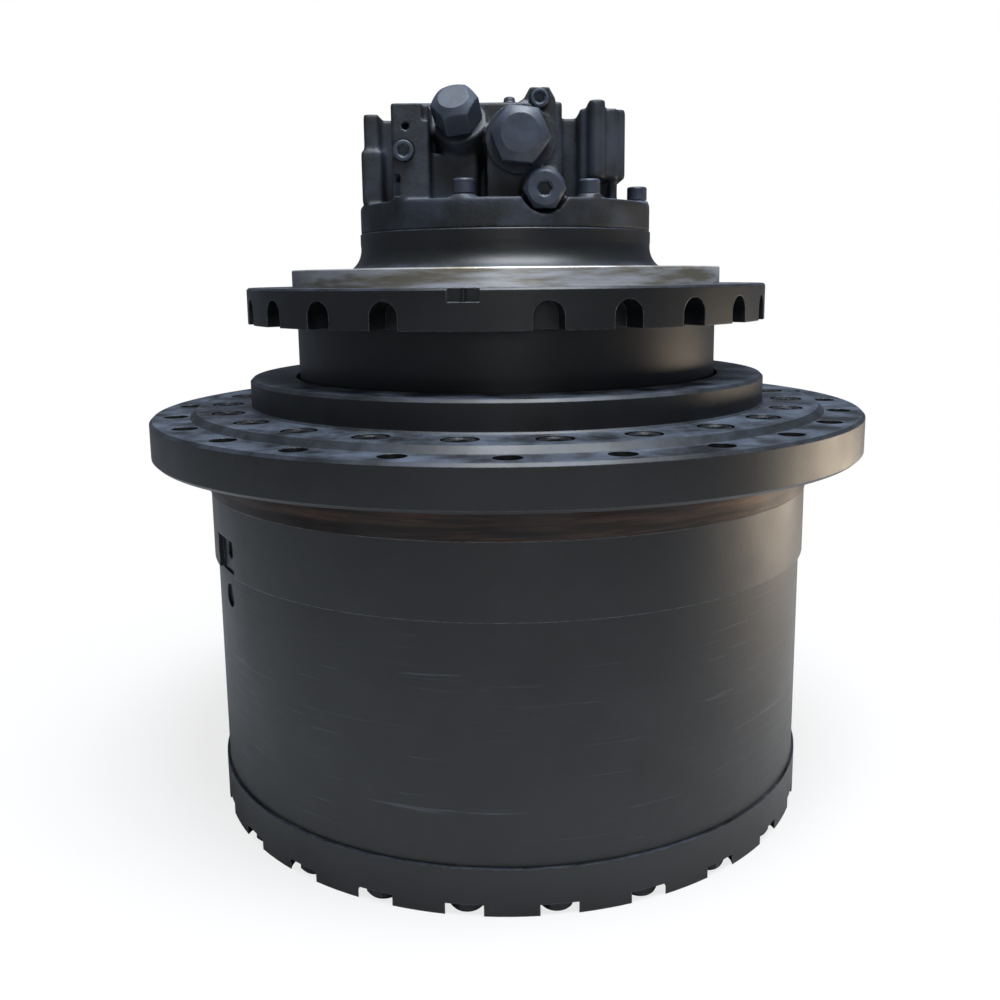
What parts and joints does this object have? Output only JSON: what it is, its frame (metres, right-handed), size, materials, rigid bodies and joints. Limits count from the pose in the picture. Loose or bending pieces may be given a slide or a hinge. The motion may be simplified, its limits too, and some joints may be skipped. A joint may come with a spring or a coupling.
{
  "type": "excavator track final drive",
  "caption": "Track final drive standing on its cover: round gear drum with bolted sprocket flange, notched frame flange and hydraulic motor head on top.",
  "frame": {"origin": "centre of the cover's outer face, which the drive stands on", "axes": "+Z along the drum's axis from the cover to the motor head, -Y towards the motor's valve side"},
  "size_m": [0.76, 0.76, 0.7378],
  "materials": {
    "paint": "semi-gloss black paint over cast iron",
    "ring_paint": "semi-gloss black paint over turned steel",
    "spindle_metal": "black paint, bare on the machined pilot",
    "screw_steel": "black oxide screws, painted over",
    "gear_steel": "case-hardened and ground",
    "bearing_steel": "ground and polished",
    "carrier_iron": "as cast, machined seats",
    "bronze": "turned bronze",
    "friction": "sintered friction lining",
    "seal_iron": "lapped white iron"
  },
  "bodies": {
    "frame_side": {"spindle": "spindle_metal", "index_pin": "screw_steel", "bearing_inner_races": "bearing_steel", "bearing_nut": "screw_steel", "seal_ring_fixed": "seal_iron", "output_carrier": "carrier_iron", "carrier_bolts": "screw_steel", "second_pins": "gear_steel", "second_planet_bushes": "bronze", "shaft_front_bearing": "bearing_steel", "swash_plate": "gear_steel", "swash_cradle": "carrier_iron", "brake_plates": "gear_steel", "valve_plate": "bronze", "port_block": "paint", "head_bolts": "screw_steel", "relief_cap": "paint", "spool_cap": "paint", "head_plugs": "paint", "brake_springs": "gear_steel", "spool_springs": "gear_steel"},
    "drum": {"hub": "paint", "ring_gear": "ring_paint", "end_cover": "paint", "cover_bolts": "screw_steel", "cover_plugs": "screw_steel", "thrust_plate": "bronze", "hub_screws": "screw_steel", "side_plugs": "screw_steel", "bearing_outer_races": "bearing_steel", "seal_housing": "carrier_iron", "seal_ring_turning": "seal_iron"},
    "lower_rollers": {"lower_bearing_rollers": "bearing_steel"},
    "upper_rollers": {"upper_bearing_rollers": "bearing_steel"},
    "first_stage": {"first_carrier": "carrier_iron", "first_pins": "gear_steel", "first_planet_bushes": "bronze", "second_sun": "gear_steel"},
    "first_planet_a": {"first_planet_a": "gear_steel"},
    "first_planet_b": {"first_planet_b": "gear_steel"},
    "first_planet_c": {"first_planet_c": "gear_steel"},
    "second_planet_a": {"second_planet_a": "gear_steel"},
    "second_planet_b": {"second_planet_b": "gear_steel"},
    "second_planet_c": {"second_planet_c": "gear_steel"},
    "second_planet_d": {"second_planet_d": "gear_steel"},
    "input_train": {"drive_shaft": "gear_steel", "motor_shaft": "gear_steel", "cylinder_block": "gear_steel", "pistons": "gear_steel", "friction_plates": "friction"},
    "brake_piston": {"brake_piston": "carrier_iron"},
    "valve_spool": {"valve_spool": "gear_steel"}
  },
  "joints": [
    {"name": "drum_spin", "type": "hinge", "parent": "frame_side", "child": "drum", "pos_m": [0, 0, 0.2], "axis": [0, 0, 1], "continuous": true},
    {"name": "lower_rollers_spin", "type": "hinge", "parent": "frame_side", "child": "lower_rollers", "pos_m": [0, 0, 0.323], "axis": [0, 0, 1], "continuous": true},
    {"name": "upper_rollers_spin", "type": "hinge", "parent": "frame_side", "child": "upper_rollers", "pos_m": [0, 0, 0.417], "axis": [0, 0, 1], "continuous": true},
    {"name": "first_stage_spin", "type": "hinge", "parent": "frame_side", "child": "first_stage", "pos_m": [0, 0, 0.13], "axis": [0, 0, 1], "continuous": true},
    {"name": "first_planet_a_spin", "type": "hinge", "parent": "first_stage", "child": "first_planet_a", "pos_m": [0, 0.165, 0.0935], "axis": [0, 0, 1], "continuous": true},
    {"name": "first_planet_b_spin", "type": "hinge", "parent": "first_stage", "child": "first_planet_b", "pos_m": [-0.14289, -0.0825, 0.0935], "axis": [0, 0, 1], "continuous": true},
    {"name": "first_planet_c_spin", "type": "hinge", "parent": "first_stage", "child": "first_planet_c", "pos_m": [0.14289, -0.0825, 0.0935], "axis": [0, 0, 1], "continuous": true},
    {"name": "second_planet_a_spin", "type": "hinge", "parent": "frame_side", "child": "second_planet_a", "pos_m": [0.12021, 0.12021, 0.21], "axis": [0, 0, 1], "continuous": true},
    {"name": "second_planet_b_spin", "type": "hinge", "parent": "frame_side", "child": "second_planet_b", "pos_m": [-0.12021, 0.12021, 0.21], "axis": [0, 0, 1], "continuous": true},
    {"name": "second_planet_c_spin", "type": "hinge", "parent": "frame_side", "child": "second_planet_c", "pos_m": [-0.12021, -0.12021, 0.21], "axis": [0, 0, 1], "continuous": true},
    {"name": "second_planet_d_spin", "type": "hinge", "parent": "frame_side", "child": "second_planet_d", "pos_m": [0.12021, -0.12021, 0.21], "axis": [0, 0, 1], "continuous": true},
    {"name": "input_spin", "type": "hinge", "parent": "frame_side", "child": "input_train", "pos_m": [0, 0, 0.3], "axis": [0, 0, 1], "continuous": true},
    {"name": "brake_release", "type": "slide", "parent": "frame_side", "child": "brake_piston", "axis": [0, 0, 1], "range_m": [0, 0.002], "deforming": ["brake_springs"]},
    {"name": "spool_shift", "type": "slide", "parent": "frame_side", "child": "valve_spool", "axis": [0, 1, 0], "range_m": [-0.006, 0.006], "deforming": ["spool_springs"]}
  ],
  "couplings": [
    {"joint": "lower_rollers_spin", "follows": "drum_spin", "ratio": 0.5},
    {"joint": "upper_rollers_spin", "follows": "drum_spin", "ratio": 0.5},
    {"joint": "first_stage_spin", "follows": "drum_spin", "ratio": -3.8571},
    {"joint": "input_spin", "follows": "drum_spin", "ratio": -25.714},
    {"joint": "first_planet_a_spin", "follows": "drum_spin", "ratio": 12.49},
    {"joint": "first_planet_b_spin", "follows": "drum_spin", "ratio": 12.49},
    {"joint": "first_planet_c_spin", "follows": "drum_spin", "ratio": 12.49},
    {"joint": "second_planet_a_spin", "follows": "drum_spin", "ratio": 2.7},
    {"joint": "second_planet_b_spin", "follows": "drum_spin", "ratio": 2.7},
    {"joint": "second_planet_c_spin", "follows": "drum_spin", "ratio": 2.7},
    {"joint": "second_planet_d_spin", "follows": "drum_spin", "ratio": 2.7}
  ]
}
